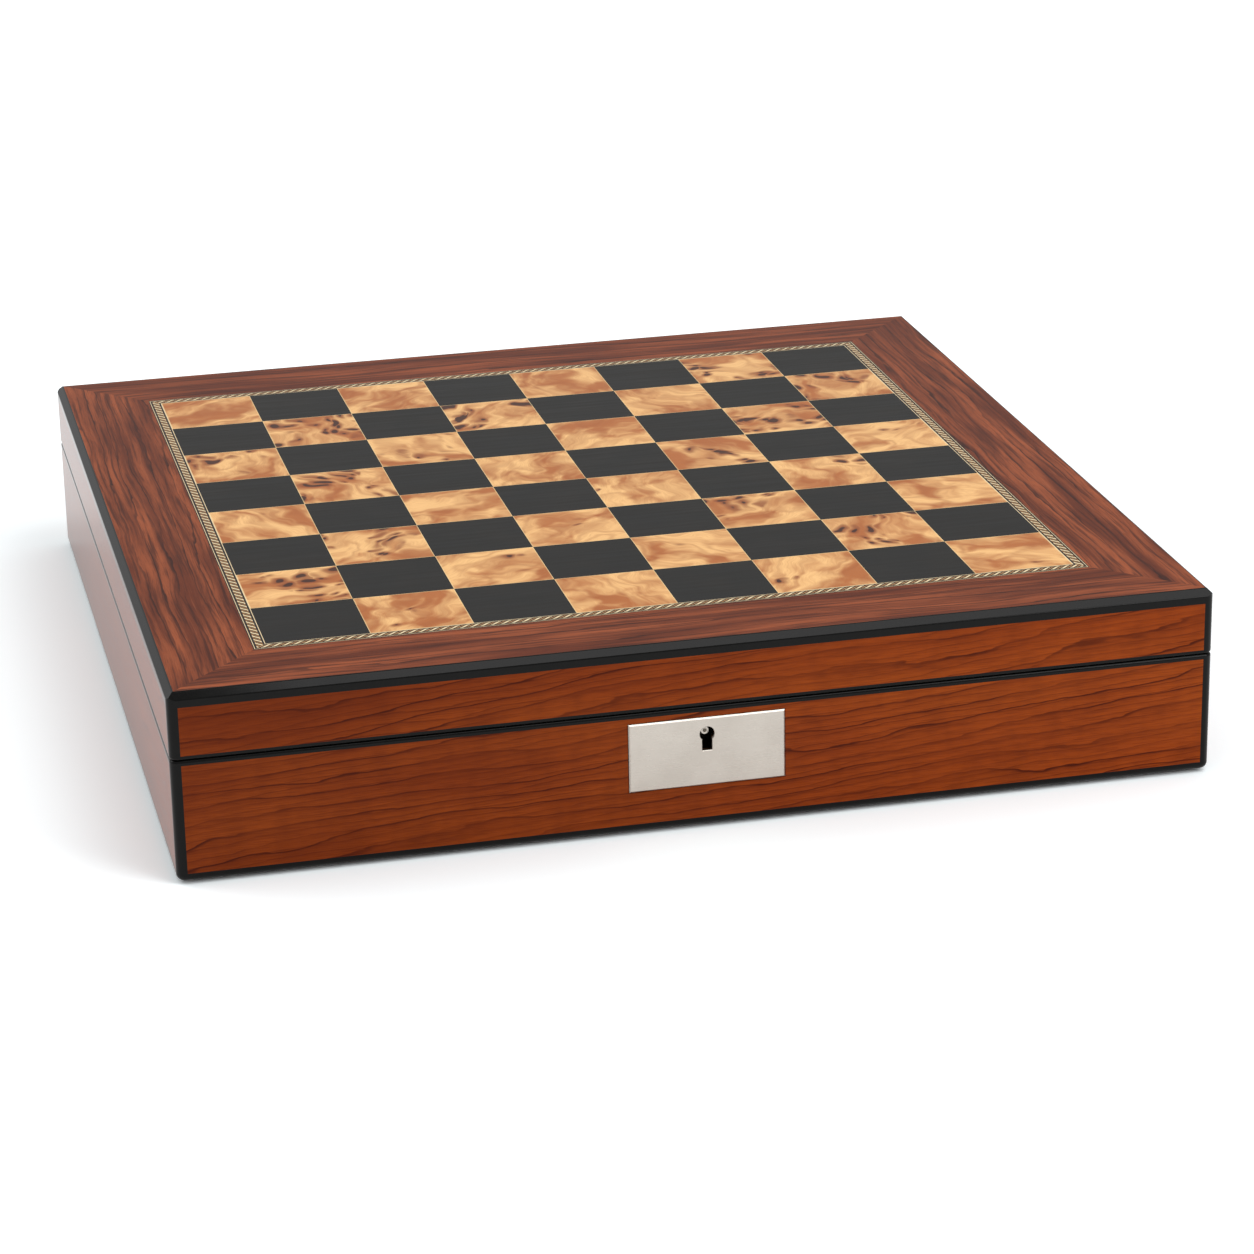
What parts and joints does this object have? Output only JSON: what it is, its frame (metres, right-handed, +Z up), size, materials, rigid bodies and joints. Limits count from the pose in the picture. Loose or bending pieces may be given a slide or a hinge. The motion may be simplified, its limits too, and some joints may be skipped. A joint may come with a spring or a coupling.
{
  "type": "chess board with storage",
  "caption": "Square veneered wooden box whose hinged lid is an inlaid chess board, with a front lock and felt-lined compartments for the pieces.",
  "frame": {"origin": "centre of the felt under the base, on the surface that the box stands on", "axes": "+Z up, +Y towards the hinges at the back, +X to the right of the player at the lock"},
  "size_m": [0.406, 0.4123, 0.0762],
  "materials": {
    "carcass_board": "satin",
    "side_veneer": "gloss lacquer",
    "border_veneer": "gloss lacquer",
    "inlay_band": "gloss lacquer",
    "dark_squares": "satin lacquer",
    "light_squares": "satin lacquer",
    "black_edging": "black gloss lacquer",
    "partition_wood": "satin",
    "felt_lining": "matt felt",
    "baize": "matt felt",
    "nickel_plate": "satin nickel plate",
    "lock_steel": "nickel plated steel",
    "hinge_metal": "nickel plated",
    "screw_steel": "nickel plated steel"
  },
  "bodies": {
    "base": {"base_front_board": "carcass_board", "base_right_board": "carcass_board", "base_back_board": "carcass_board", "base_left_board": "carcass_board", "base_front_veneer": "side_veneer", "base_right_veneer": "side_veneer", "base_back_veneer": "side_veneer", "base_left_veneer": "side_veneer", "base_foot_edging_front": "black_edging", "base_foot_edging_right": "black_edging", "base_foot_edging_back": "black_edging", "base_foot_edging_left": "black_edging", "base_rim_edging": "black_edging", "base_corner_edging": "black_edging", "base_bottom_panel": "carcass_board", "long_partitions": "partition_wood", "cell_dividers": "partition_wood", "compartment_linings": "felt_lining", "underside_baize": "baize", "lock_plate": "nickel_plate", "lock_case": "lock_steel", "lock_cover": "lock_steel", "lock_post": "lock_steel", "lock_screws": "screw_steel", "hinge_base_leaves": "hinge_metal", "hinge_pins": "hinge_metal", "hinge_base_screws": "screw_steel"},
    "lid": {"lid_front_board": "carcass_board", "lid_right_board": "carcass_board", "lid_back_board": "carcass_board", "lid_left_board": "carcass_board", "lid_front_veneer": "side_veneer", "lid_right_veneer": "side_veneer", "lid_back_veneer": "side_veneer", "lid_left_veneer": "side_veneer", "lid_top_edging_front": "black_edging", "lid_top_edging_right": "black_edging", "lid_top_edging_back": "black_edging", "lid_top_edging_left": "black_edging", "lid_rim_edging": "black_edging", "lid_corner_edging": "black_edging", "lid_panel": "carcass_board", "lid_lining": "felt_lining", "border_veneer_front": "border_veneer", "border_veneer_right": "border_veneer", "border_veneer_back": "border_veneer", "border_veneer_left": "border_veneer", "inlay_band_front": "inlay_band", "inlay_band_right": "inlay_band", "inlay_band_back": "inlay_band", "inlay_band_left": "inlay_band", "dark_squares": "dark_squares", "light_squares": "light_squares", "strike_plate": "lock_steel", "strike_screws": "screw_steel", "hinge_lid_leaves": "hinge_metal", "hinge_lid_screws": "screw_steel"},
    "bolt": {"lock_bolt": "lock_steel"}
  },
  "joints": [
    {"name": "lid_hinge", "type": "hinge", "parent": "base", "child": "lid", "pos_m": [0, 0.2053, 0.0497], "axis": [-1, 0, 0], "range_deg": [0, 95]},
    {"name": "lock_bolt_slide", "type": "slide", "parent": "base", "child": "bolt", "axis": [1, 0, 0], "range_m": [0, 0.004]}
  ]
}
